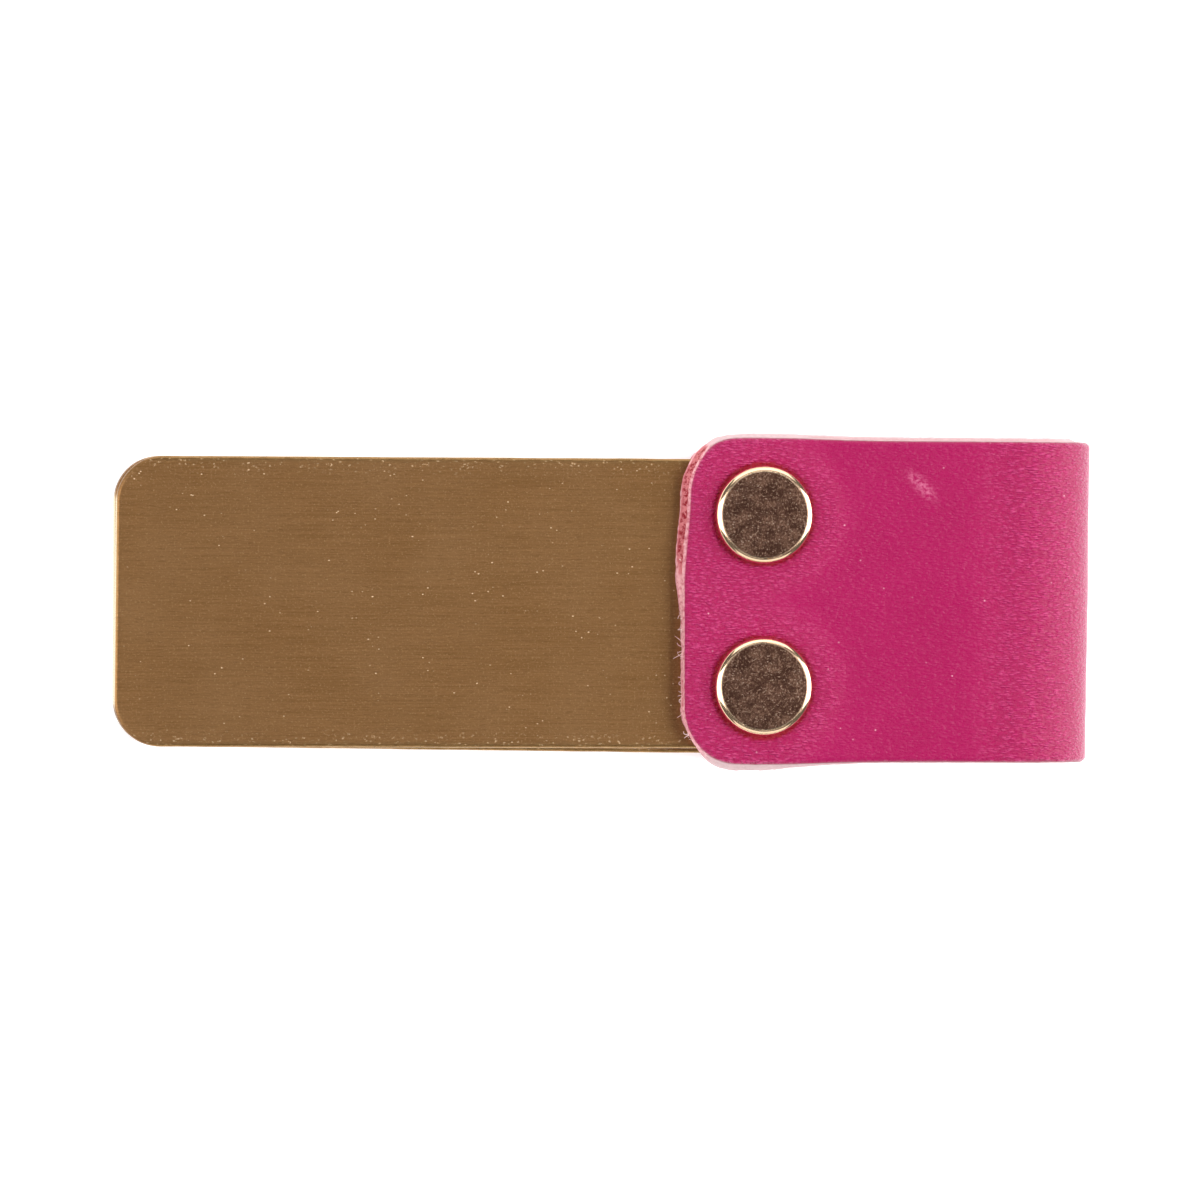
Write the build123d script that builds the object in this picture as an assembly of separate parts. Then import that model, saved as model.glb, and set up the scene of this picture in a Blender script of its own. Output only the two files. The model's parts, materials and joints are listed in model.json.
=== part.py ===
from build123d import *
import math
import os

# Money clip: a brass strip bent into a hairpin spring, with a leather strap wrapped
# round its bend. Two double-cap rivets hold the strap to each leg of the strip.
# All sizes are in millimetres.

# Brass strip
strip_width = 22.5
strip_thickness = 1.0
strip_edge_radius = 0.25
leaf_length = 69.8            # straight leg, from the bend to its free end
leaf_corner_radius = 3.6
bend_radius = 3.4             # inside of the bend
tip_gap = 0.2                 # between the free ends at rest

# Leather strap
strap_width = 25.0
strap_thickness = 2.2
strap_clearance = 0.05        # between the strap and the strip
strap_edge_radius = 0.25
front_flap_length = 25.9      # from the bend to the flap's raw end
back_flap_length = 24.3       # the strap is folded a little off its middle
flap_corner_radius = 4.2

# The strip and the strap are divided where they start to bend
seam = 0.02

# Rivets: a capped socket outside, and a capped tubular post from inside
rivet_spacing = 13.3
rivet_from_bend = 19.7
post_radius = 1.5
post_wall = 0.3
post_bulge_radius = 1.68
leaf_hole_radius = 1.6
strap_hole_radius = 1.9
sheet = 0.25                  # thickness of the sockets and flanges
play = 0.03                   # between the pieces of one rivet

cap_radius = 3.8
cap_height = 1.1
cap_wall = 0.3
cap_rim_radius = 0.45
cap_lip_radius = 2.8

head_radius = 3.3
head_height = 0.8
head_wall = 0.2
head_rim_radius = 0.35
head_lip_radius = 2.5

socket_collar_length = 0.9
socket_collar_wall = 0.3

# Levels above a leg's inner face, outwards
leather_bottom = strip_thickness + strap_clearance
leather_top = leather_bottom + strap_thickness
cap_top = leather_top + cap_height
fold_inner_radius = bend_radius + leather_bottom
fold_outer_radius = bend_radius + leather_top

# Each leg leans towards the other, so that the free ends almost meet
leg_lean = math.degrees(math.asin((bend_radius - tip_gap / 2) / leaf_length))


def resting_slope():
    """Slope of the back leg when the clip lies on its free end and its two back caps."""
    tip_x = strip_edge_radius - leaf_length
    tip_z = strip_thickness - strip_edge_radius
    rim_x = -rivet_from_bend - (cap_radius - cap_rim_radius)
    rim_z = cap_top - cap_rim_radius
    reach = math.hypot(rim_x - tip_x, rim_z - tip_z)
    rise = math.atan2(rim_z - tip_z, rim_x - tip_x)
    return math.degrees(rise + math.asin((cap_rim_radius - strip_edge_radius) / reach))


def rounded_tongue(length, width, corner, thickness):
    """A plate from x = 0 to x = -length, with its two far corners rounded."""
    outline = Pos(-length / 2, 0) * Rectangle(length, width)
    far_corners = outline.vertices().filter_by(lambda v: v.X < -length / 2)
    return extrude(fillet(far_corners, corner), thickness)


def free_edges(plate, level):
    """The edges round a plate's face at this level, but not the one on its seam."""
    at_level = plate.edges().filter_by(lambda e: abs(e.center().Z - level) < 1e-6)
    return at_level.filter_by(lambda e: abs(e.center().X) > 1e-6)


def rivet_places():
    return [Pos(-rivet_from_bend, side * rivet_spacing / 2, 0) for side in (1, -1)]


def drilled(plate, thickness, radius):
    for place in rivet_places():
        plate -= place * Pos(0, 0, thickness / 2) * Cylinder(radius, 3 * thickness)
    return plate


def leaf():
    plate = rounded_tongue(leaf_length, strip_width, leaf_corner_radius, strip_thickness)
    rounded = free_edges(plate, 0) + free_edges(plate, strip_thickness)
    return drilled(fillet(rounded, strip_edge_radius), strip_thickness, leaf_hole_radius)


def flap(length):
    plate = rounded_tongue(length, strap_width, flap_corner_radius, strap_thickness)
    plate = fillet(free_edges(plate, strap_thickness), strap_edge_radius)
    return Pos(0, 0, leather_bottom) * drilled(plate, strap_thickness, strap_hole_radius)


def bend(inner, outer, width, edge_radius, rounded_faces):
    """The part of a strip that runs round the bend, from one leg to the other."""
    half_turn = 90 + leg_lean - math.degrees(seam / inner)
    low = CenterArc((0, 0), inner, -half_turn, 2 * half_turn)
    high = CenterArc((0, 0), outer, -half_turn, 2 * half_turn)
    section = make_face(low + high + Line(low @ 0, high @ 0) + Line(low @ 1, high @ 1))
    solid = extrude(Plane.XZ * section, width / 2, both=True)
    arcs = solid.edges().filter_by(GeomType.CIRCLE)
    chosen = arcs.filter_by(lambda e: any(abs(e.radius - r) < 1e-6 for r in rounded_faces))
    return fillet(chosen, edge_radius)


def turned(points):
    """A solid of revolution about Z from (radius, height) points, joined by straight lines."""
    outline = Polyline(*[(r, 0, z) for r, z in points], close=True)
    return revolve(make_face(outline), Axis.Z)


def round_top(solid, level, radius, rounding):
    edge = solid.edges().filter_by(
        lambda e: e.geom_type == GeomType.CIRCLE
        and abs(e.radius - radius) < 1e-6
        and abs(e.center().Z - level) < 1e-6
    )
    return fillet(edge, rounding)


def capped_shell(radius, height, wall, lip, rounding):
    """A drawn metal cap on z = 0, hollow, with its rim turned in under the piece it holds."""
    shell = turned([
        (0, height - wall), (0, height), (radius, height), (radius, 0),
        (lip, 0), (lip, wall), (radius - wall, wall), (radius - wall, height - wall),
    ])
    shell = round_top(shell, height, radius, rounding)
    return round_top(shell, height - wall, radius - wall, rounding - wall / 2)


def cap():
    """The outer cap, on the leather."""
    shell = capped_shell(cap_radius, cap_height, cap_wall, cap_lip_radius, cap_rim_radius)
    return Pos(0, 0, leather_top) * shell


def head():
    """The low inner cap, on the leg's inner face, facing into the throat."""
    shell = capped_shell(head_radius, head_height, head_wall, head_lip_radius, head_rim_radius)
    return Rot(180, 0, 0) * shell


def socket():
    """The disc that the outer cap holds, with a collar down into the leather's hole."""
    bottom = leather_top + cap_wall + play
    hole = post_radius + play
    collar_radius = hole + socket_collar_wall
    collar_bottom = bottom - socket_collar_length
    disc_radius = cap_radius - cap_wall - play
    return turned([
        (hole, collar_bottom), (hole, bottom + sheet), (disc_radius, bottom + sheet),
        (disc_radius, bottom), (collar_radius, bottom), (collar_radius, collar_bottom),
    ])


def post():
    """The tubular post, from its flange in the inner cap to its bulged end in the socket."""
    flange_top = -head_wall - play
    flange_bottom = flange_top - sheet
    flange_radius = head_radius - head_wall - play
    socket_top = leather_top + cap_wall + play + sheet
    bulge_bottom = socket_top + play
    end = cap_top - cap_wall - play
    bore = post_radius - post_wall
    return turned([
        (bore, flange_bottom), (flange_radius, flange_bottom), (flange_radius, flange_top),
        (post_radius, flange_top), (post_radius, bulge_bottom),
        (post_bulge_radius, bulge_bottom), (post_bulge_radius, end), (0, end),
        (0, end - sheet / 2), (bore, end - sheet / 2),
    ])


def build():
    """Every piece, with the bend's axis on Y, its middle towards +X, and the legs towards -X."""
    front = Rot(0, -leg_lean, 0) * Pos(0, 0, bend_radius)
    back = Rot(180, 0, 0) * front
    pieces = {
        "clip_bow": bend(
            bend_radius, bend_radius + strip_thickness, strip_width, strip_edge_radius,
            (bend_radius, bend_radius + strip_thickness),
        ),
        "strap_fold": bend(
            fold_inner_radius, fold_outer_radius, strap_width, strap_edge_radius,
            (fold_outer_radius,),
        ),
    }
    legs = (("front", front, front_flap_length), ("back", back, back_flap_length))
    for leg, frame, flap_length in legs:
        pieces[f"{leg}_leaf"] = frame * leaf()
        pieces[f"strap_{leg}_flap"] = frame * flap(flap_length)
        # the back leg is turned over, so its first rivet is the lower one
        sides = ("upper", "lower") if leg == "front" else ("lower", "upper")
        for side, place in zip(sides, rivet_places()):
            for name, make in (("cap", cap), ("socket", socket), ("post", post), ("head", head)):
                pieces[f"{leg}_{name}_{side}"] = frame * place * make()
    return pieces


def corner(pieces, choose, end):
    """The corner of the box round all the pieces: choose is min or max."""
    corners = [getattr(piece.bounding_box(), end) for piece in pieces.values()]
    return Vector(*[choose(getattr(c, axis) for c in corners) for axis in "XYZ"])


lean = leg_lean + resting_slope()
lying = {name: Rot(0, -lean, 0) * piece for name, piece in build().items()}
low = corner(lying, min, "min")
high = corner(lying, max, "max")
to_origin = Pos(-(low.X + high.X) / 2, 0, -low.Z)

os.makedirs("parts", exist_ok=True)
for name, piece in lying.items():
    export_step(to_origin * piece, f"parts/{name}.step")

print(f"leg lean {leg_lean:.4f} deg, back leg slope {resting_slope():.4f} deg")
print(f"bend axis at x = {to_origin.position.X:.4f}, z = {to_origin.position.Z:.4f}")
print("overall " + " x ".join(f"{size:.3f}" for size in high - low))
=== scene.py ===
import json
import math

import bpy
import numpy as np
from mathutils import Matrix, Vector


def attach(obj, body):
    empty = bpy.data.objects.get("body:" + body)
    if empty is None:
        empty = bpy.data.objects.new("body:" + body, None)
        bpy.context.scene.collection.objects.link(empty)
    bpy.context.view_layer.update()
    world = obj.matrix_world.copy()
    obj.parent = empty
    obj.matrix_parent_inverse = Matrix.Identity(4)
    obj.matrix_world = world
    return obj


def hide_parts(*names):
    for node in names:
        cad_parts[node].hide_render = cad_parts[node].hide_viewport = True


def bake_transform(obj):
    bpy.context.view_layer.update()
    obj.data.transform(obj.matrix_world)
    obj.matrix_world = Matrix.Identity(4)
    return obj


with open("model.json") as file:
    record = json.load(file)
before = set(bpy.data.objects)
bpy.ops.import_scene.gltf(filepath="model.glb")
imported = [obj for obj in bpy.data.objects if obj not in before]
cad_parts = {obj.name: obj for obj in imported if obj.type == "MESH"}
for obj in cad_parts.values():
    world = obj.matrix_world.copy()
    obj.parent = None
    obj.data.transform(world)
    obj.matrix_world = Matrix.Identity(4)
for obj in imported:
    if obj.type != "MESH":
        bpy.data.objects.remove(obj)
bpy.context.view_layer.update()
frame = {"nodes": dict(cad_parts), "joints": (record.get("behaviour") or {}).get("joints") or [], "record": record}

# A money clip: a brass strip bent into a hairpin, a riveted leather strap round its bend.
# Shapes are worked out in millimetres and turned into metres as each mesh is made.
MM = 0.001

# The hairpin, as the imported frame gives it
mounts = {m["name"]: m for m in frame["record"]["mounts"]}
hinge = frame["joints"][0]
BEND_AXIS = np.array(hinge["pos_m"]) / MM
FRONT_OUT = np.array(mounts["engraving_face"]["axis"])
BACK_OUT = np.array(mounts["back_face"]["axis"])
FRONT_RUN = np.array([FRONT_OUT[2], 0, -FRONT_OUT[0]])   # along the front leg, towards the bend
ACROSS = np.array([0.0, 1.0, 0.0])
TURN = 2 * math.pi - math.acos(FRONT_OUT @ BACK_OUT)     # angle that the bend turns through
BEND_OUT = -(FRONT_OUT + BACK_OUT) / np.linalg.norm(FRONT_OUT + BACK_OUT)
BEND_RADIUS = 3.4

# Brass strip
STRIP_WIDTH = 22.5
STRIP_THICKNESS = 1.0
LEAF_LENGTH = 69.8
LEAF_CORNER = 3.6
STRIP_ROUNDING = 0.24         # of its long edges
STRIP_MIDDLE = BEND_RADIUS + STRIP_THICKNESS / 2
STRIP_TURN = TURN * STRIP_MIDDLE
STRIP_CELL = 0.3              # of its mesh
STRIP_OFFSET = -0.24          # the strip isn't quite in the middle of the strap
BACK_SKEW = 0.0112            # the back leg lies a little askew behind the front one
BACK_SKEW_PIVOT = 64.0        # from the bend
FOLD_SKEW = 0.0105            # the fold isn't quite square to the strip
FOLD_SKEW_REACH = 14.0        # how far along each leg that goes on
CUT_SKEW = 0.007              # the front leg's free end isn't cut quite square
BOW_STRAIGHT = 0.9            # the bow's mesh runs this far into each straight leg

# Leather strap
STRAP_OFFSET = -0.02
GRAIN_WIDTH = 24.8            # the cut is wider at the flesh side, 25 in all
STRAP_BOTTOM = 1.05
STRAP_THICKNESS = 2.2
FRONT_FLAP = 25.9
BACK_FLAP = 24.3
FLAP_CORNER = 4.2
STRAP_MIDDLE = BEND_RADIUS + STRAP_BOTTOM + STRAP_THICKNESS / 2
STRAP_TURN = TURN * STRAP_MIDDLE
STRAP_GRAIN_DROP = 0.26       # depth of the rounded grain edge
STRAP_CELL = 0.2              # of its mesh

# Rivets
RIVET_RUN = 19.7
RIVET_SIDE = 6.65
CAP_RADIUS = 3.8
CAP_HEIGHT = 1.1
CAP_FACE = 3.38               # radius of its flat face


def smooth(x):
    """0 below 0, 1 above 1, and an easy curve between."""
    x = np.clip(x, 0, 1)
    return x * x * (3 - 2 * x)


def noise(x, y, cell, seed):
    """Smooth seeded noise from -1 to 1, with lumps of about this size."""
    size = 256
    lattice = np.random.default_rng(seed).uniform(-1, 1, (size, size))
    gx, gy = np.asarray(x) / cell, np.asarray(y) / cell
    ix, iy = np.floor(gx).astype(int), np.floor(gy).astype(int)
    fx, fy = smooth(gx - ix), smooth(gy - iy)

    def along_row(row):
        left, right = lattice[ix % size, row % size], lattice[(ix + 1) % size, row % size]
        return left * (1 - fx) + right * fx

    return along_row(iy) * (1 - fy) + along_row(iy + 1) * fy


def hairpin(run, across, height, middle):
    """Points of a strip that follows the hairpin. run is 0 where the front leg meets the bend,
    and is measured at radius middle in the bend; height is above the brass's inner face."""
    turned = np.clip(run / middle, 0, TURN)[:, None]
    beyond = (np.minimum(run, 0) + np.maximum(run - TURN * middle, 0))[:, None]
    outwards = np.cos(turned) * FRONT_OUT + np.sin(turned) * FRONT_RUN
    onwards = np.cos(turned) * FRONT_RUN - np.sin(turned) * FRONT_OUT
    radius = (BEND_RADIUS + height)[:, None]
    return BEND_AXIS + outwards * radius + onwards * beyond + across[:, None] * ACROSS


def fold_askew(points, run, across, middle):
    """Leans the fold: one edge of the bend is pushed out a little and the other one in."""
    from_bend = np.maximum(-run, run - TURN * middle)
    share = smooth(1 - from_bend / FOLD_SKEW_REACH)
    return points + (share * across * FOLD_SKEW)[:, None] * BEND_OUT


def stations(start, end, width, corners, inset, cell):
    """Runs along a plate, with its half width and the slant of its edge at each. An end is
    rounded by its corner radius, or it is a plain cut, with no inset, where that is 0."""
    low, high = start + corners[0], end - corners[1]
    straight = np.linspace(low, high, int((high - low) / cell) + 2)
    stretches = [(straight, np.full(len(straight), width / 2 - inset), np.zeros(len(straight)))]
    for corner, base, way in ((corners[0], low, -1), (corners[1], high, 1)):
        if not corner:
            continue
        turn = np.linspace(0, math.pi / 2, max(2, int(corner * 1.6 / cell)))[:-1]
        if way > 0:
            turn = turn[::-1]
        reach = corner - inset
        halves = width / 2 - corner + reach * np.sin(turn)
        arc = (base + way * reach * np.cos(turn), halves, way * np.cos(turn))
        stretches = stretches + [arc] if way > 0 else [arc] + stretches
    return [np.concatenate(column) for column in zip(*stretches)]


def plate(start, end, width, corners, edge, cell):
    """A thick plate as numpy arrays. edge is its rim's profile, from the top face to the
    bottom one, as (inset, height) pairs. Returns the plate's measures and its quads."""
    columns = int(width / cell) + 2
    share = np.linspace(-1, 1, columns)
    run, across, height = [], [], []
    for inset, level in (edge[0], edge[-1]):
        runs, halves, slants = stations(start, end, width, corners, inset, cell)
        run.append(np.repeat(runs, columns))
        across.append((halves[:, None] * share).ravel())
        height.append(np.full(len(runs) * columns, float(level)))

    # the loop round the top face, and the way out of the plate at each of its points
    rows = len(runs)
    count = rows * columns
    index = np.arange(count).reshape(rows, columns)
    loop = np.concatenate([index[0, :-1], index[:-1, -1], index[-1, :0:-1], index[:0:-1, 0]])
    row, column = loop // columns, loop % columns
    first, last = row == 0, row == rows - 1
    side = np.where(column == columns - 1, 1.0, np.where(column == 0, -1.0, 0.0))
    out_run = slants[row]
    out_run[first & (side == 0)] = -1.0 if corners[0] else 0.0
    out_run[last & (side == 0)] = 1.0 if corners[1] else 0.0
    out_across = side * np.sqrt(1 - slants[row] ** 2)
    top_run, top_across = run[0][loop], across[0][loop]
    step = np.hypot(np.diff(top_run, append=top_run[0]), np.diff(top_across, append=top_across[0]))
    around = np.concatenate([[0], np.cumsum(step)[:-1]])

    # the rim's loops, from the top face down to the bottom one
    loops = [loop]
    for level, (inset, at_height) in enumerate(edge[1:-1]):
        run.append(top_run + out_run * (edge[0][0] - inset))
        across.append(top_across + out_across * (edge[0][0] - inset))
        height.append(np.full(len(loop), float(at_height)))
        loops.append(2 * count + level * len(loop) + np.arange(len(loop)))
    loops.append(count + loop)

    top = np.stack([index[:-1, :-1], index[1:, :-1], index[1:, 1:], index[:-1, 1:]], -1).reshape(-1, 4)
    quads = [top, top[:, ::-1] + count]
    plain = (first & (not corners[0])) | (last & (not corners[1]))
    plain = plain & np.roll(plain, -1) & (row == np.roll(row, -1))
    cut = [np.zeros(2 * len(top), bool)]
    for upper, lower in zip(loops, loops[1:]):
        quads.append(np.stack([upper, np.roll(upper, -1), np.roll(lower, -1), lower], -1))
        cut.append(plain)
    made = {
        "run": np.concatenate(run),
        "across": np.concatenate(across),
        "height": np.concatenate(height),
        "loops": loops,
        "out_run": out_run,
        "out_across": out_across,
        "around": around,
        "face_points": count,
        "cut": np.concatenate(cut),
    }
    return made, np.concatenate(quads)


def new_piece(name, points, faces, material, uv=None, values=None, flat_faces=None):
    """An object from points in millimetres, with its flat coordinates and point values.
    flat_faces marks the faces that aren't shaded smooth."""
    mesh = bpy.data.meshes.new(name)
    mesh.from_pydata((points * MM).tolist(), [], [list(f) for f in faces])
    rounded = np.ones(len(mesh.polygons), bool) if flat_faces is None else ~flat_faces
    mesh.polygons.foreach_set("use_smooth", rounded)
    if uv is not None:
        corner_points = np.zeros(len(mesh.loops), int)
        mesh.loops.foreach_get("vertex_index", corner_points)
        layer = mesh.uv_layers.new(name="UVMap")
        layer.data.foreach_set("uv", uv[corner_points].astype(np.float32).ravel())
    for key, value in (values or {}).items():
        attribute = mesh.attributes.new(key, "FLOAT", "POINT")
        attribute.data.foreach_set("value", np.asarray(value, np.float32))
    mesh.materials.append(material)
    mesh.update()
    piece = bpy.data.objects.new(name, mesh)
    bpy.context.scene.collection.objects.link(piece)
    return piece


# ---------------------------------------------------------------- materials


class Graph:
    """A material's nodes, added one at a time."""

    def __init__(self, name):
        self.material = bpy.data.materials.new(name)
        self.material.use_nodes = True
        self.tree = self.material.node_tree
        self.tree.nodes.clear()
        self.shader = self.add("ShaderNodeBsdfPrincipled")
        output = self.add("ShaderNodeOutputMaterial")
        self.tree.links.new(self.shader.outputs[0], output.inputs["Surface"])

    def plug(self, socket, value):
        """Links the value to the socket, or sets it there if it is a constant."""
        if isinstance(value, bpy.types.NodeSocket):
            self.tree.links.new(value, socket)
        else:
            socket.default_value = value

    def add(self, kind, settings=None, **inputs):
        node = self.tree.nodes.new(kind)
        for key, value in (settings or {}).items():
            setattr(node, key, value)
        for key, value in inputs.items():
            self.plug(node.inputs[key.replace("_", " ")], value)
        return node

    def set(self, **inputs):
        for key, value in inputs.items():
            self.plug(self.shader.inputs[key.replace("_", " ")], value)

    def flat(self):
        """The piece's flat coordinates, in millimetres."""
        return self.add("ShaderNodeUVMap", {"uv_map": "UVMap"}).outputs["UV"]

    def solid(self):
        """The piece's own coordinates, in millimetres."""
        place = self.add("ShaderNodeTexCoord").outputs["Object"]
        return self.scaled(place, (1 / MM, 1 / MM, 1 / MM))

    def scaled(self, vector, scale):
        return self.add("ShaderNodeMapping", Vector=vector, Scale=scale).outputs[0]

    def value(self, name):
        return self.add("ShaderNodeAttribute", {"attribute_name": name}).outputs["Fac"]

    def noise(self, vector, scale, detail=3.0, roughness=0.5):
        return self.add(
            "ShaderNodeTexNoise", Vector=vector, Scale=scale, Detail=detail, Roughness=roughness
        ).outputs["Fac"]

    def warped(self, vector, amount, scale, detail=1.0):
        """The coordinates, pushed about by noise."""
        push = self.add("ShaderNodeTexNoise", Vector=vector, Scale=scale, Detail=detail)
        return self.mix(amount, vector, push.outputs["Color"], "ADD")

    def cells(self, vector, scale, feature="F1", **more):
        node = self.add("ShaderNodeTexVoronoi", {"feature": feature}, Vector=vector, Scale=scale, **more)
        return node.outputs["Distance"]

    def ramp(self, value, low, high, to_low=0.0, to_high=1.0):
        node = self.add(
            "ShaderNodeMapRange", {"interpolation_type": "SMOOTHSTEP"},
            Value=value, From_Min=low, From_Max=high, To_Min=to_low, To_Max=to_high,
        )
        return node.outputs[0]

    def math(self, operation, a, b):
        node = self.add("ShaderNodeMath", {"operation": operation})
        self.plug(node.inputs[0], a)
        self.plug(node.inputs[1], b)
        return node.outputs[0]

    def times(self, first, *others):
        for other in others:
            first = self.math("MULTIPLY", first, other)
        return first

    def plus(self, first, *others):
        for other in others:
            first = self.math("ADD", first, other)
        return first

    def minus(self, first, other):
        return self.math("SUBTRACT", first, other)

    def mix(self, factor, a, b, blend="MIX"):
        node = self.add("ShaderNodeMix", {"data_type": "RGBA", "blend_type": blend})
        # a mix node has sockets for every kind of data: 6 and 7 are the colours
        for number, value in ((0, factor), (6, a), (7, b)):
            self.plug(node.inputs[number], value)
        return node.outputs[2]

    def bump(self, height, depth):
        """A bump whose full height is depth, in millimetres."""
        node = self.add("ShaderNodeBump", Height=height, Distance=depth * MM, Strength=1.0)
        return node.outputs[0]


def colour(red, green, blue):
    return (red, green, blue, 1.0)


def strip_brass():
    """Brushed, antiqued brass, worn to a lighter gold along its edges, with a painted highlight along its free
    ends.
    """
    g = Graph("strip_brass")
    flat = g.flat()
    edge = g.value("edge")
    hairlines = g.noise(g.scaled(flat, (0.12, 7.0, 1.0)), 1.0, 4.0, 0.62)
    fine = g.noise(g.scaled(flat, (1.2, 16.0, 1.0)), 1.0, 3.0, 0.6)
    grit = g.noise(flat, 6.0, 3.0, 0.7)
    cloud = g.noise(flat, 0.14, 3.0, 0.55)
    specks = g.cells(g.scaled(flat, (1.0, 1.4, 1.0)), 1.5)
    crowd = g.noise(flat, 0.35, 2.0)
    speck = g.times(g.ramp(specks, 0.13, 0.05), g.ramp(crowd, 0.51, 0.60))
    nicks = g.cells(g.scaled(g.warped(flat, 0.6, 1.2), (1.5, 2.3, 1.0)), 1.5)
    nick = g.times(g.ramp(nicks, 0.34, 0.14), g.value("worn"), g.ramp(grit, 0.42, 0.60, 0.0, 0.85))
    marks = g.math("MAXIMUM", speck, nick)
    brown = g.mix(g.ramp(hairlines, 0.30, 0.70), colour(0.208, 0.104, 0.037), colour(0.265, 0.136, 0.054))
    brown = g.mix(g.ramp(cloud, 0.30, 0.75, 0.0, 0.5), brown, colour(0.280, 0.152, 0.066))
    brown = g.mix(g.ramp(fine, 0.50, 0.68, 0.0, 0.5), brown, colour(0.120, 0.056, 0.020))
    brown = g.mix(g.ramp(grit, 0.53, 0.72, 0.0, 0.60), brown, colour(0.45, 0.270, 0.132))
    tone = g.mix(g.times(marks, 0.8), brown, colour(0.90, 0.66, 0.42))
    grain = g.noise(g.scaled(g.solid(), (0.5, 1.0, 1.0)), 4.0, 3.0, 0.6)
    gold = g.mix(g.ramp(grain, 0.35, 0.65), colour(0.300, 0.168, 0.063), colour(0.380, 0.225, 0.092))
    # painted highlight: a near-white line along the free ends of the strip
    gold = g.mix(g.value("tip_highlight"), gold, colour(0.80, 0.68, 0.48))
    shine = g.minus(g.ramp(fine, 0.25, 0.75, 0.36, 0.46), g.times(edge, 0.16))
    relief = g.plus(hairlines, g.times(fine, 0.8), g.times(grit, 0.6))
    g.set(
        Base_Color=g.mix(edge, tone, gold),
        Metallic=1.0,
        Roughness=shine,
        Normal=g.bump(g.minus(relief, g.times(marks, 1.5)), 0.008),
    )
    return g.material


def rivet_brass(name, dark, light, roughness):
    """The plain brass of the rivets' inner pieces, between two tones, with small pits."""
    g = Graph(name)
    solid = g.solid()
    cloud = g.noise(solid, 0.75, 4.0, 0.6)
    spots = g.noise(solid, 2.6, 3.0, 0.6)
    pit = g.times(g.ramp(g.cells(solid, 2.4), 0.22, 0.08), g.ramp(spots, 0.45, 0.60))
    tone = g.mix(g.ramp(cloud, 0.38, 0.62), colour(*dark), colour(*light))
    g.set(
        Base_Color=g.mix(g.times(pit, 0.6), tone, colour(0.90, 0.72, 0.52)),
        Metallic=1.0,
        Roughness=g.ramp(spots, 0.3, 0.7, roughness, roughness + 0.12),
        Normal=g.bump(g.minus(spots, g.times(pit, 0.8)), 0.02),
    )
    return g.material


def cap_brass():
    """The outer caps: a dull, speckled brown face in a polished rim."""
    g = Graph("cap_brass")
    flat = g.flat()
    rim = g.value("rim")
    cloud = g.noise(flat, 0.9, 4.0, 0.6)
    spots = g.noise(g.scaled(flat, (1.0, 0.75, 1.0)), 6.5, 3.0, 0.8)
    pits = g.cells(g.scaled(flat, (1.0, 1.7, 1.0)), 2.6)
    pit = g.times(g.ramp(pits, 0.26, 0.10), g.ramp(spots, 0.44, 0.58))
    curls = g.cells(g.scaled(g.warped(flat, 1.0, 1.4), (1.3, 4.2, 1.0)), 1.7)
    curl = g.times(g.ramp(curls, 0.20, 0.08), g.ramp(cloud, 0.42, 0.55))
    worn = g.mix(g.ramp(cloud, 0.36, 0.66), colour(0.046, 0.021, 0.014), colour(0.132, 0.071, 0.048))
    worn = g.mix(g.ramp(spots, 0.50, 0.62), worn, colour(0.040, 0.018, 0.012))
    worn = g.mix(g.ramp(spots, 0.45, 0.33), worn, colour(0.36, 0.225, 0.160))
    worn = g.mix(g.times(pit, 0.85), worn, colour(0.52, 0.35, 0.26))
    worn = g.mix(g.times(curl, 0.7), worn, colour(0.55, 0.40, 0.30))
    relief = g.minus(g.plus(spots, cloud), pit)
    g.set(
        Base_Color=g.mix(rim, worn, colour(0.95, 0.68, 0.44)),
        Metallic=1.0,
        Roughness=g.minus(g.ramp(spots, 0.3, 0.7, 0.30, 0.44), g.times(rim, 0.24)),
        Normal=g.bump(g.times(relief, g.minus(1.0, rim)), 0.03),
    )
    return g.material


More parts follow.
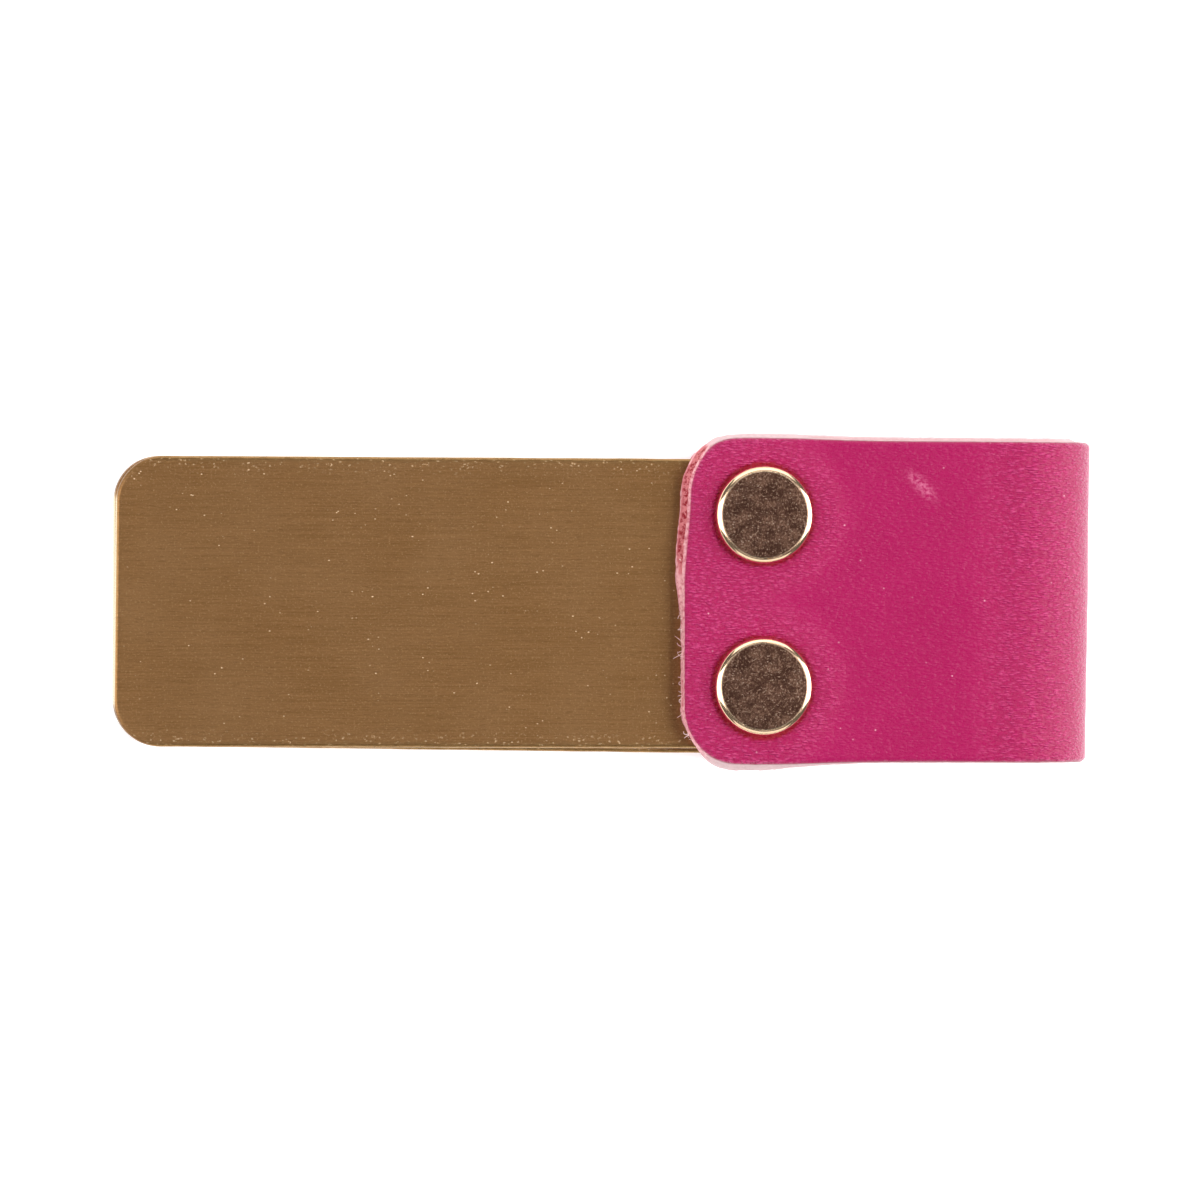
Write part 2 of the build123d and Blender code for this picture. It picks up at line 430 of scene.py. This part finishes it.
def strap_leather():
    """Pink leather: a creased grain side, and the pale, torn fibres of its raw edge."""
    g = Graph("strap_leather")
    flat = g.flat()
    raw = g.value("raw")
    bleached = g.value("bleached")
    creased = g.value("creased")
    bent = g.warped(flat, 0.16, 1.1, 2.0)
    fine = g.noise(flat, 6.5, 3.0, 0.6)
    dashes = g.noise(g.scaled(bent, (1.7, 4.4, 1.0)), 1.0, 3.0, 0.6)
    pebbles = g.cells(g.scaled(bent, (0.85, 2.1, 1.0)), 2.6, "SMOOTH_F1", Smoothness=0.20)
    pebble = g.ramp(pebbles, 0.12, 0.62, 1.0, 0.0)

    # the grain side, with a scuff and dust on it, a painted sheen where it is creased, painted highlights and
    # shade on its pebbles, and a painted contact shadow round the rivets
    cloud = g.noise(flat, 0.22, 3.0, 0.5)
    pink = g.mix(g.ramp(cloud, 0.3, 0.7), colour(0.315, 0.0028, 0.072), colour(0.330, 0.0034, 0.077))
    # painted sheen: creased leather, over the fold most of all, is mixed to a lighter pink
    pink = g.mix(creased, pink, colour(0.400, 0.0075, 0.094))
    # painted highlight: the tops of the pebbles are lighter, most of all where the leather is creased
    lighter = g.times(g.ramp(dashes, 0.30, 0.55), pebble, g.ramp(creased, 0.0, 1.0, 0.10, 0.9))
    pink = g.mix(lighter, pink, colour(0.54, 0.0480, 0.180))
    # painted shade: darker between the pebbles, most of all where the leather is creased
    gap_shade = g.times(g.ramp(pebble, 0.30, 0.05), g.ramp(creased, 0.0, 1.0, 0.10, 0.40))
    pink = g.mix(gap_shade, pink, colour(0.27, 0.0030, 0.052))
    scuffed = g.add(
        "ShaderNodeMapping", {"vector_type": "TEXTURE"}, Vector=flat,
        Location=(-7.4, 9.0, 0), Rotation=(0, 0, -0.78), Scale=(2.2, 0.80, 1.0),
    ).outputs[0]
    distance = g.add("ShaderNodeVectorMath", {"operation": "LENGTH"}, Vector=scuffed).outputs["Value"]
    scuff = g.times(g.ramp(distance, 1.0, 0.2), g.ramp(g.noise(flat, 3.6, 3.0, 0.7), 0.40, 0.60))
    pink = g.mix(g.times(scuff, 0.7), pink, colour(0.58, 0.14, 0.26))
    crowd = g.noise(flat, 0.5, 1.0)
    dust = g.times(g.ramp(g.cells(flat, 0.75), 0.075, 0.03), g.ramp(crowd, 0.46, 0.56))
    pink = g.mix(g.times(dust, 0.7), pink, colour(0.75, 0.36, 0.46))
    # painted shadow: a dark red ring on the leather round the foot of each rivet cap
    pink = g.mix(g.times(g.value("rivet_contact_shadow"), 0.9), pink, colour(0.29, 0.005, 0.013))

    # the raw edge, torn open where it is split, with painted shade in the split's torn hollows, and a dark line
    # where the grain ends
    fibre = g.noise(g.solid(), 2.6, 4.0, 0.8)
    split = g.value("split")
    pale = g.mix(g.ramp(fibre, 0.36, 0.58), colour(0.52, 0.130, 0.165), colour(0.82, 0.44, 0.46))
    pale = g.mix(g.times(bleached, 0.8), pale, colour(0.68, 0.53, 0.54))
    pale = g.mix(g.ramp(split, 0.10, 0.45, 0.0, 0.85), pale, colour(0.56, 0.135, 0.150))
    # painted shade: dark red in the torn hollows of the split
    torn = g.times(g.ramp(split, 0.35, 0.75), g.ramp(fibre, 0.56, 0.42))
    pale = g.mix(torn, pale, colour(0.26, 0.012, 0.022))
    grain_side = g.minus(1.0, raw)
    grain_ends = g.times(raw, grain_side, bleached, 2.6)

    pebbled = g.times(pebble, g.ramp(creased, 0.0, 1.0, 0.22, 0.9))
    dashed = g.times(g.ramp(dashes, 0.38, 0.62), g.ramp(creased, 0.0, 1.0, 0.12, 0.50))
    relief = g.times(g.plus(pebbled, dashed, g.times(fine, 0.20)), grain_side)
    relief = g.plus(relief, g.times(fibre, raw, 1.2))
    g.set(
        Base_Color=g.mix(grain_ends, g.mix(raw, pink, pale), colour(0.20, 0.010, 0.035)),
        Roughness=g.plus(g.ramp(fine, 0.3, 0.7, 0.25, 0.35), g.times(raw, 0.5)),
        Specular_IOR_Level=0.26,
        Normal=g.bump(relief, 0.10),
    )
    return g.material


def loose_fibre():
    g = Graph("loose_fibre")
    tint = g.noise(g.solid(), 0.8, 2.0)
    g.set(
        Base_Color=g.mix(g.ramp(tint, 0.35, 0.65), colour(0.86, 0.54, 0.54), colour(0.95, 0.76, 0.74)),
        Roughness=0.85,
    )
    return g.material


def pale_floor():
    g = Graph("pale_floor")
    dust = g.noise(g.solid(), 0.02, 2.0)
    g.set(
        Base_Color=g.mix(dust, colour(0.90, 0.90, 0.90), colour(0.92, 0.92, 0.92)),
        Roughness=0.9,
        Emission_Color=colour(1.0, 1.0, 1.0),
        Emission_Strength=0.45,
    )
    return g.material


# ---------------------------------------------------------------- brass strip


def quarter(inset, height, steps):
    """A rounded edge's profile: quarter of an ellipse from (inset, height) away from both faces."""
    turn = np.linspace(0, math.pi / 2, steps)
    return [(inset * (1 - math.sin(a)), height * (1 - math.cos(a))) for a in turn]


def brass_edge():
    upper = [(inset, STRIP_THICKNESS - drop) for inset, drop in quarter(STRIP_ROUNDING, 0.26, 9)]
    return upper + quarter(STRIP_ROUNDING, STRIP_ROUNDING, 7)[::-1]


def brass_section(name, start, end, corners):
    """The strip from one run to another, with its rounded corners or a plain cut at each end."""
    made, quads = plate(start, end, STRIP_WIDTH, corners, brass_edge(), STRIP_CELL)
    run, across, height = made["run"], made["across"], made["height"]
    edge_distance = STRIP_WIDTH / 2 - np.abs(across)
    end_distance = np.minimum(run + LEAF_LENGTH, STRIP_TURN + LEAF_LENGTH - run)
    values = {
        "edge": smooth(1 - np.minimum(edge_distance / 0.42, end_distance / 0.14)),
        "worn": smooth(1 - edge_distance / 1.7),
        # where the painted highlight along the free ends goes
        "tip_highlight": smooth(1 - end_distance / 0.09) * smooth(edge_distance / 3.0),
    }

    # its sides wander, its faces aren't quite flat, and its free ends droop
    wobble = noise(run, across, 2.3, 11) * 0.012 + noise(run, across, 0.6, 12) * 0.004
    across += np.sign(across) * smooth(1 - edge_distance / 1.5) * wobble
    height += noise(run, across, 9.0, 13) * 0.012
    height -= 0.045 * smooth(1 - end_distance / 2.8)
    flat = np.stack([run, across], 1)
    if name != "brass_front_leaf":
        across -= smooth(run / STRIP_TURN) * BACK_SKEW * (STRIP_TURN - run + BACK_SKEW_PIVOT)
    run += CUT_SKEW * across * smooth((-run - LEAF_LENGTH + 8) / 8)
    points = fold_askew(hairpin(run, across, height, STRIP_MIDDLE), run, across, STRIP_MIDDLE)
    points += ACROSS * STRIP_OFFSET
    return new_piece(name, points, quads, BRASS, flat, values, made["cut"])


BRASS = strip_brass()
bow_end = STRIP_TURN + BOW_STRAIGHT
front_leaf = brass_section("brass_front_leaf", -LEAF_LENGTH, -BOW_STRAIGHT, (LEAF_CORNER, 0))
bow = brass_section("brass_bow", -BOW_STRAIGHT, bow_end, (0, 0))
back_leaf = brass_section("brass_back_leaf", bow_end, STRIP_TURN + LEAF_LENGTH, (0, LEAF_CORNER))
for piece, node in ((front_leaf, "front_leaf"), (bow, "clip_bow"), (back_leaf, "back_leaf")):
    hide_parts(node)
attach(front_leaf, "front_half")
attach(back_leaf, "back_half")


def bend_with_spring(piece):
    """Bakes the piece's placement into its mesh, leaving the object untransformed."""
    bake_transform(piece)


bend_with_spring(bow)


# ---------------------------------------------------------------- leather strap


def leather_edge():
    """The strap's rim: a soft grain edge, then the raw cut, wider at the flesh side."""
    grain = [(inset, STRAP_THICKNESS - drop) for inset, drop in quarter(0.32, STRAP_GRAIN_DROP, 6)]
    shares = [level / 11 for level in range(1, 11)]
    cut = [(0.0, (STRAP_THICKNESS - STRAP_GRAIN_DROP) * (1 - share) + 0.08 * share) for share in shares]
    return grain + cut + [(0.02, 0.06), (0.10, 0.0)]


def nearest_rivet(run, across):
    """Distance to the nearest rivet's centre, in the strap's flat coordinates."""
    away = np.full(run.shape, 1e9)
    for centre in (-RIVET_RUN, STRAP_TURN + RIVET_RUN):
        for side in (-RIVET_SIDE, RIVET_SIDE):
            away = np.minimum(away, np.hypot(run - centre, across - side))
    return away


def along_legs(run, centre, width):
    """1 at this distance from the bend, on both legs, and less away from it."""
    front = np.exp(-(((run + centre) / width) ** 2))
    back = np.exp(-(((run - STRAP_TURN - centre) / width) ** 2))
    return front + back


def front_cut(across):
    """How much the front flap's end is cut back: it isn't quite square."""
    return 0.12 + 0.46 * smooth((across - 1.0) / 7.5)


def tear_rim(made, edge):
    """Shapes the raw rim: a lip under the grain, a torn split, and a wider lip of flesh at the
    bottom. Returns how raw, split and bleached each point is."""
    run, across = made["run"], made["across"]
    raw, split, bleached = np.zeros((3, len(run)))
    raw[made["face_points"]:2 * made["face_points"]] = 1.0
    around = made["around"]
    still = 0 * around
    on_end = smooth((np.abs(made["out_run"]) - 0.30) / 0.5)
    loop_run, loop_across = run[made["loops"][0]], across[made["loops"][0]]
    torn = (0.12 + 0.88 * smooth((loop_across + 3.0) / 7.0)) * on_end
    near_rivets = along_legs(loop_run, 21.0, 5.0)
    flesh_width = np.where(loop_across > 0, 0.26, 0.02 + 0.38 * near_rivets) * (1 - on_end)
    flesh_width += (0.44 * torn - 0.04) * on_end
    opened = smooth(noise(around, still, 5.0, 21) * 1.2 + 0.35 + torn) * (0.25 + 0.75 * torn)
    calm = 1 - 0.6 * (1 - on_end) * (1 - near_rivets)
    for loop, (_, level) in zip(made["loops"], edge):
        down = (STRAP_THICKNESS - level) / STRAP_THICKNESS
        is_raw = smooth((down - 0.08) / 0.05)
        lip = (0.12 - 0.07 * on_end + 0.17 * torn) * smooth((down - 0.06) / 0.12)
        flesh = flesh_width * smooth((down - 0.46) / 0.28)
        groove = opened * math.exp(-(((down - 0.46) / 0.11) ** 2))
        red = opened * math.exp(-(((down - 0.54) / 0.16) ** 2))
        rough = 0.4 + 0.6 * smooth((down - 0.15) / 0.3)
        fuzz = noise(around, still + level * 2.2, 0.30, 22) * 0.05
        fuzz += noise(around, still + level * 1.4, 1.1, 23) * 0.06
        reach = is_raw * (lip + flesh + fuzz * rough * calm - 0.16 * groove)
        run[loop] += made["out_run"] * reach
        across[loop] += made["out_across"] * reach
        raw[loop] = np.maximum(raw[loop], is_raw)
        split[loop] = np.maximum(split[loop], red * is_raw)
        bleached[loop] = 1 - on_end
    return {"raw": raw, "split": split, "bleached": bleached}


def make_strap():
    edge = leather_edge()
    strap_end = STRAP_TURN + BACK_FLAP
    corners = (FLAP_CORNER, FLAP_CORNER)
    made, quads = plate(-FRONT_FLAP, strap_end, GRAIN_WIDTH, corners, edge, STRAP_CELL)
    run, across, height = made["run"], made["across"], made["height"]
    flat = np.stack([run, across], 1)
    values = tear_rim(made, edge)

    # rivets press into the leather, which swells round them and pushes the margins out
    away = nearest_rivet(run, across)
    upper = smooth((height / STRAP_THICKNESS - 0.3) / 0.6)
    swell = 0.10 * np.exp(-(((away - 4.7) / 1.2) ** 2)) * smooth((away - CAP_RADIUS) / 0.5)
    dent = -0.14 * np.exp(-(((away - 3.88) / 0.14) ** 2))
    under = -0.05 * smooth((CAP_RADIUS - away) / 0.3)
    height += upper * (swell + dent + under)
    margin = smooth((np.abs(across) - 7.5) / 5.0) * np.sign(across)
    flare = np.where(across > 0, 0.20, 0.24) * along_legs(run, RIVET_RUN, 6.0)
    folded = smooth((run + 5.0) / 6.0) * smooth((STRAP_TURN + 5.0 - run) / 6.0)
    across += margin * flare

    run += front_cut(across) * smooth((-run - FRONT_FLAP + 3.0) / 3.0)

    # the hide is never quite flat
    height += upper * (noise(run, across, 5.5, 31) * 0.045 + noise(run, across, 1.6, 32) * 0.012)
    rim_lift = smooth((-run - FRONT_FLAP + 2.2) / 2.2) + smooth((run - strap_end + 2.2) / 2.2)
    height += upper * rim_lift * (0.05 + 0.06 * noise(across, run, 4.0, 33))
    points = hairpin(run, across, height + STRAP_BOTTOM, STRAP_MIDDLE)
    points = fold_askew(points, run, across, STRAP_MIDDLE) + ACROSS * STRAP_OFFSET

    stretched = np.exp(-(((run - STRAP_TURN / 2) / 5.0) ** 2))
    creased = along_legs(run, 24.0, 3.6) + 0.8 * np.exp(-(((away - 4.8) / 1.5) ** 2))
    creased += 0.9 * folded * (1 - 0.5 * stretched)
    values["creased"] = np.minimum(creased, 1)
    # where the painted contact shadow goes: a thin ring round the foot of each cap
    values["rivet_contact_shadow"] = smooth((4.04 - away) / 0.10) * upper
    return new_piece("leather_strap", points, quads, LEATHER, flat, values)


LEATHER = strap_leather()
strap = make_strap()
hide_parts("strap_front_flap", "strap_fold", "strap_back_flap")
bend_with_spring(strap)


def strap_point(run, across, height):
    """A point on the strap, in millimetres."""
    place = (np.array([run]), np.array([across]), np.array([height + STRAP_BOTTOM]))
    return hairpin(*place, STRAP_MIDDLE)[0]


def rim_place(leg, random):
    """A random place on a flap's raw end: its run, across, and outward direction there."""
    corner = FLAP_CORNER
    half = GRAIN_WIDTH / 2
    straight = half - corner
    arc = corner * math.pi / 2
    along = random.uniform(-straight - arc, straight + arc)
    turn = max(0.0, abs(along) - straight) / corner
    out_run, out_across = -math.cos(turn), math.sin(turn) * np.sign(along)
    across = np.clip(along, -straight, straight) + corner * out_across
    run = -FRONT_FLAP + corner + corner * out_run
    if leg == "front":
        run += front_cut(across)
    else:
        run, out_run = STRAP_TURN + BACK_FLAP - corner - corner * out_run, -out_run
    return run, across, out_run, out_across


def make_fibres(leg, count, seed):
    """Loose fibres of the flesh that curl out of a flap's raw end, as thin tapered tubes."""
    random = np.random.default_rng(seed)
    points, faces = [], []
    rings, sides = 7, 4
    for _ in range(count):
        run, across, out_run, out_across = rim_place(leg, random)
        level = random.uniform(0.15, 1.3)
        length = random.uniform(0.2, 0.5) + 0.5 * random.random() ** 6
        heading = math.atan2(out_across, out_run) + random.normal(0, 0.6)
        curl = random.normal(0, 2.2)
        rise = random.normal(0.0, 0.25)
        thick = random.uniform(0.026, 0.044)
        root = 0.12 * (1.3 - level) - 0.10
        x, y, z = run + out_run * root, across + out_across * root, level
        first = len(points)
        for ring in range(rings):
            share = ring / (rings - 1)
            middle = strap_point(x, y, z)
            ahead = strap_point(x + math.cos(heading), y + math.sin(heading), z + rise) - middle
            ahead /= np.linalg.norm(ahead)
            over = np.cross(ahead, ACROSS * 0.3 + FRONT_OUT)
            over /= np.linalg.norm(over)
            beside = np.cross(ahead, over)
            radius = thick * (1 - 0.6 * share)
            for side in range(sides):
                angle = 2 * math.pi * side / sides
                points.append(middle + radius * (over * math.cos(angle) + beside * math.sin(angle)))
            step = length / (rings - 1)
            x += step * math.cos(heading)
            y += step * math.sin(heading)
            z = max(0.03, z + step * rise)
            heading += curl / (rings - 1)
        for ring in range(rings - 1):
            low = first + ring * sides
            for side in range(sides):
                following = (side + 1) % sides
                high = low + sides
                faces.append((low + side, low + following, high + following, high + side))
        faces.append(tuple(first + side for side in reversed(range(sides))))
        faces.append(tuple(first + (rings - 1) * sides + side for side in range(sides)))
    fibres = new_piece(f"loose_fibres_{leg}", np.array(points), faces, FIBRE)
    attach(fibres, f"{leg}_half")


FIBRE = loose_fibre()
make_fibres("front", 90, 81)
make_fibres("back", 50, 82)


# ---------------------------------------------------------------- rivets


def disc_centre(node, outwards):
    """The middle of a cap's flat face, in millimetres."""
    points = np.array([v.co for v in frame["nodes"][node].data.vertices]) / MM
    reach = points @ outwards
    face = points[reach > reach.max() - 0.02]
    return (face.min(0) + face.max(0)) / 2


def cap_profile():
    """(radius, height) from the middle of the cap's face to its rim's foot on the leather."""
    face = [(r, CAP_HEIGHT - 0.004 * r * r) for r in np.linspace(0.0, CAP_FACE, 34)]
    shoulder = [face[-1]]
    steps = 16
    wide = (CAP_RADIUS - CAP_FACE) / steps
    for step in range(steps):
        share = (step + 0.5) / steps
        steep = math.radians(13 + 42 * share if share < 0.70 else 54 + 95 * (share - 0.70))
        last_radius, last_height = shoulder[-1]
        shoulder.append((last_radius + wide, last_height - wide * math.tan(steep)))
    foot = [(0.01, 0.40), (0, 0.18), (-0.05, 0.04), (-0.15, -0.06), (-0.45, -0.08), (-1.0, -0.08)]
    return np.array(face + shoulder[1:] + [(CAP_RADIUS + r, h) for r, h in foot])


def make_cap(node, outwards, onwards, body, seed):
    """Turns a cap's profile about the cap that it stands in for, a little out of true."""
    profile = cap_profile()
    spokes = 120
    angle = np.linspace(0, 2 * math.pi, spokes, endpoint=False)
    radius = profile[1:, 0][:, None] * np.ones(spokes)
    height = profile[1:, 1][:, None] * np.ones(spokes)
    x, y = radius * np.cos(angle), radius * np.sin(angle)
    on_face = smooth((CAP_FACE + 0.1 - radius) / 0.3)
    height += on_face * (noise(x + 20, y, 1.9, seed) * 0.010 + noise(x + 20, y, 0.7, seed + 1) * 0.004)
    wave = noise(3 * np.cos(angle) + 9, 3 * np.sin(angle) + 9, 2.0, seed + 2) * 0.02
    radius = radius + (radius / CAP_RADIUS) ** 3 * wave
    x, y = radius * np.cos(angle), radius * np.sin(angle)
    flat_x = np.concatenate([[0], x.ravel()])
    flat_y = np.concatenate([[0], y.ravel()])
    level = np.concatenate([[profile[0, 1]], height.ravel()])
    side = np.cross(outwards, onwards)
    base = disc_centre(node, outwards) - outwards * CAP_HEIGHT
    points = base + flat_x[:, None] * onwards + flat_y[:, None] * side + level[:, None] * outwards
    rings = len(profile) - 1
    index = 1 + np.arange(rings * spokes).reshape(rings, spokes)
    following = np.roll(index, -1, 1)
    faces = [(0, a, b) for a, b in zip(index[0], following[0])]
    quads = np.stack([index[:-1], index[1:], following[1:], following[:-1]], -1).reshape(-1, 4)
    faces += [tuple(q) for q in quads]
    flat = np.stack([flat_x + 10 * seed, flat_y], 1)
    rim = smooth((np.hypot(flat_x, flat_y) - CAP_FACE + 0.03) / 0.06)
    cap = new_piece(node.replace("cap", "rivet_cap"), points, faces, CAP, flat, {"rim": rim})
    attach(cap, body)
    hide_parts(node)


CAP = cap_brass()
BACK_RUN = np.array([-BACK_OUT[2], 0, BACK_OUT[0]])
for order, side in enumerate(("upper", "lower")):
    make_cap(f"front_cap_{side}", FRONT_OUT, FRONT_RUN, "front_half", 41 + 5 * order)
    make_cap(f"back_cap_{side}", BACK_OUT, BACK_RUN, "back_half", 61 + 5 * order)

HEAD = rivet_brass("head_brass", (0.52, 0.33, 0.18), (0.68, 0.46, 0.27), 0.30)
CORE = rivet_brass("core_brass", (0.60, 0.42, 0.25), (0.74, 0.54, 0.33), 0.34)
for name, node in frame["nodes"].items():
    if "_head_" in name or "_post_" in name or "_socket_" in name:
        node.data.materials.clear()
        node.data.materials.append(HEAD if "_head_" in name else CORE)


# ---------------------------------------------------------------- studio

FLOOR_HALF = 15.0                    # in metres
floor_corners = [(x * FLOOR_HALF, y * FLOOR_HALF, 0) for x, y in ((-1, -1), (1, -1), (1, 1), (-1, 1))]
floor_mesh = bpy.data.meshes.new("floor")
floor_mesh.from_pydata(floor_corners, [], [(0, 1, 2, 3)])
floor_mesh.materials.append(pale_floor())
floor = bpy.data.objects.new("floor", floor_mesh)
bpy.context.scene.collection.objects.link(floor)

# The camera looks nearly straight at the front leg, from a little towards the free ends
VIEW_LEAN = math.radians(6.0)
VIEW_ROLL = 0.0042                   # in radians
BEND_FROM_CENTRE = 31.54             # in the picture's plane
DISTANCE = 0.8                       # in metres
LENS = 306.3
slope = math.atan2(-FRONT_OUT[0], FRONT_OUT[2]) + VIEW_LEAN
towards_camera = Vector((-math.sin(slope), 0, math.cos(slope)))
picture_right = Vector((math.cos(slope), 0, math.sin(slope)))
picture_up = Vector((0, 1, 0))
TARGET = (Vector(BEND_AXIS) - picture_right * BEND_FROM_CENTRE) * MM

camera_data = bpy.data.cameras.new("camera")
camera_data.lens = LENS
camera_data.sensor_width = 36.0
camera_data.clip_start = 0.05
camera_data.clip_end = 60.0
camera = bpy.data.objects.new("camera", camera_data)
bpy.context.scene.collection.objects.link(camera)
right = picture_right * math.cos(VIEW_ROLL) + picture_up * math.sin(VIEW_ROLL)
up = towards_camera.cross(right)
camera.matrix_world = Matrix.Translation(TARGET + towards_camera * DISTANCE) @ Matrix(
    (right, up, towards_camera)
).transposed().to_4x4()
bpy.context.scene.camera = camera


def softbox(name, sideways, upwards, distance, width, height, radiance):
    """A soft light on the clip, in degrees right of and above the line to the camera, with its
    distance and size in metres."""
    a, b = math.radians(sideways), math.radians(upwards)
    direction = towards_camera * math.cos(a) + picture_right * math.sin(a)
    direction = direction * math.cos(b) + picture_up * math.sin(b)
    light = bpy.data.lights.new(name, "AREA")
    light.shape = "RECTANGLE"
    light.size = width
    light.size_y = height
    light.energy = radiance * math.pi * width * height
    lamp = bpy.data.objects.new(name, light)
    bpy.context.scene.collection.objects.link(lamp)
    turn_to = direction.to_track_quat("Z", "Y")
    lamp.matrix_world = Matrix.Translation(TARGET + direction * distance) @ turn_to.to_matrix().to_4x4()


softbox("left_softbox", -40, 0, 0.75, 0.50, 1.0, 3.3)
softbox("right_softbox", 64, 3, 0.75, 0.54, 1.15, 5.0)
softbox("top_softbox", 14, 58, 0.8, 1.1, 0.5, 1.8)
softbox("bottom_softbox", 14, -60, 0.8, 1.0, 0.4, 1.1)

world = bpy.data.worlds.new("studio")
world.use_nodes = True
background = world.node_tree.nodes["Background"]
background.inputs["Color"].default_value = colour(1.0, 1.0, 1.0)
background.inputs["Strength"].default_value = 0.13
bpy.context.scene.world = world
bpy.context.scene.view_settings.view_transform = "Standard"
